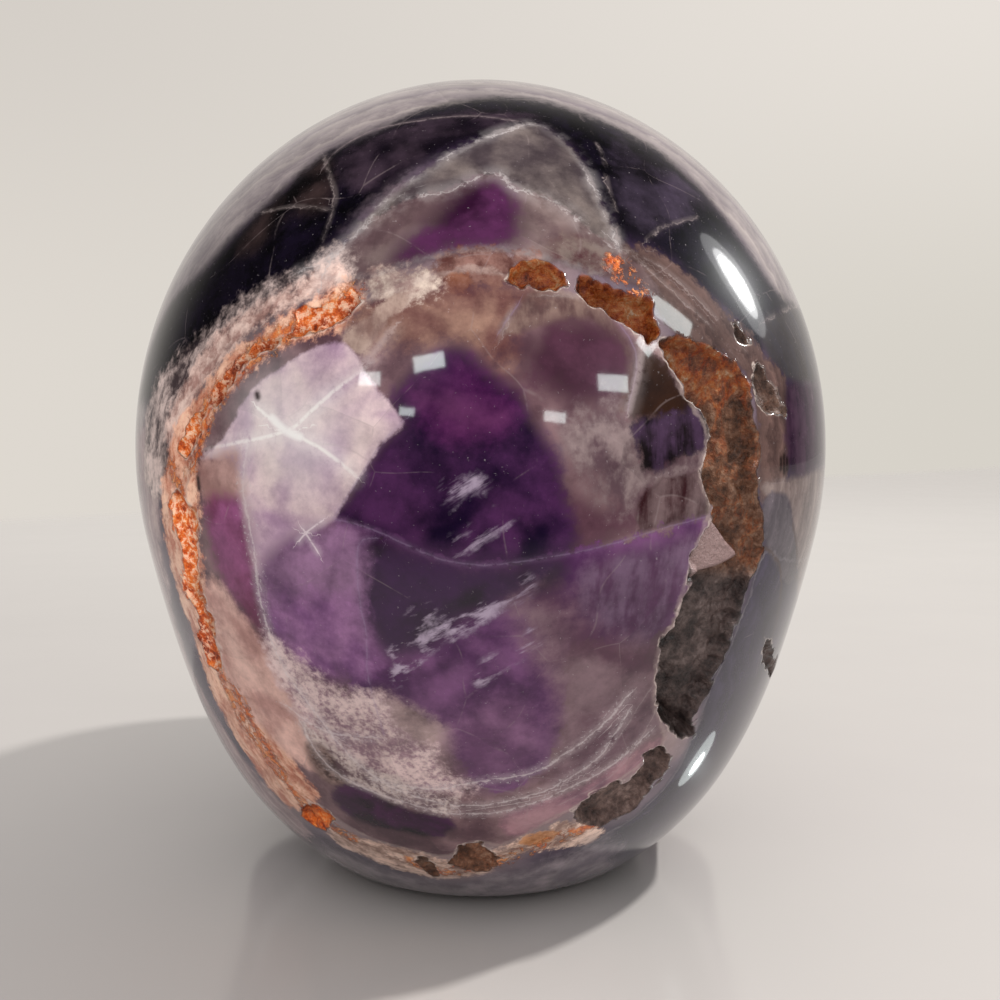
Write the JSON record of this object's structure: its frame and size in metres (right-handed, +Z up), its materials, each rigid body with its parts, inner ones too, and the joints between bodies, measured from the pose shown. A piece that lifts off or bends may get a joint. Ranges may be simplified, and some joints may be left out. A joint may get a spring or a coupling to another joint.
{
  "type": "amethyst skull",
  "caption": "Life-like skull carved and polished from one piece of banded amethyst, with an open rough vein round its back; stands on a flat base.",
  "frame": {"origin": "on the flat base, under the middle of the outline seen from above", "axes": "+Z up, -Y out of the face, +Y out of the back of the head, +X to the left side of the face"},
  "size_m": [0.092, 0.1252, 0.1101],
  "materials": {
    "amethyst": "polished, with rough orange and brown vein"
  },
  "bodies": {
    "root": {"skull": "amethyst"}
  },
  "joints": []
}
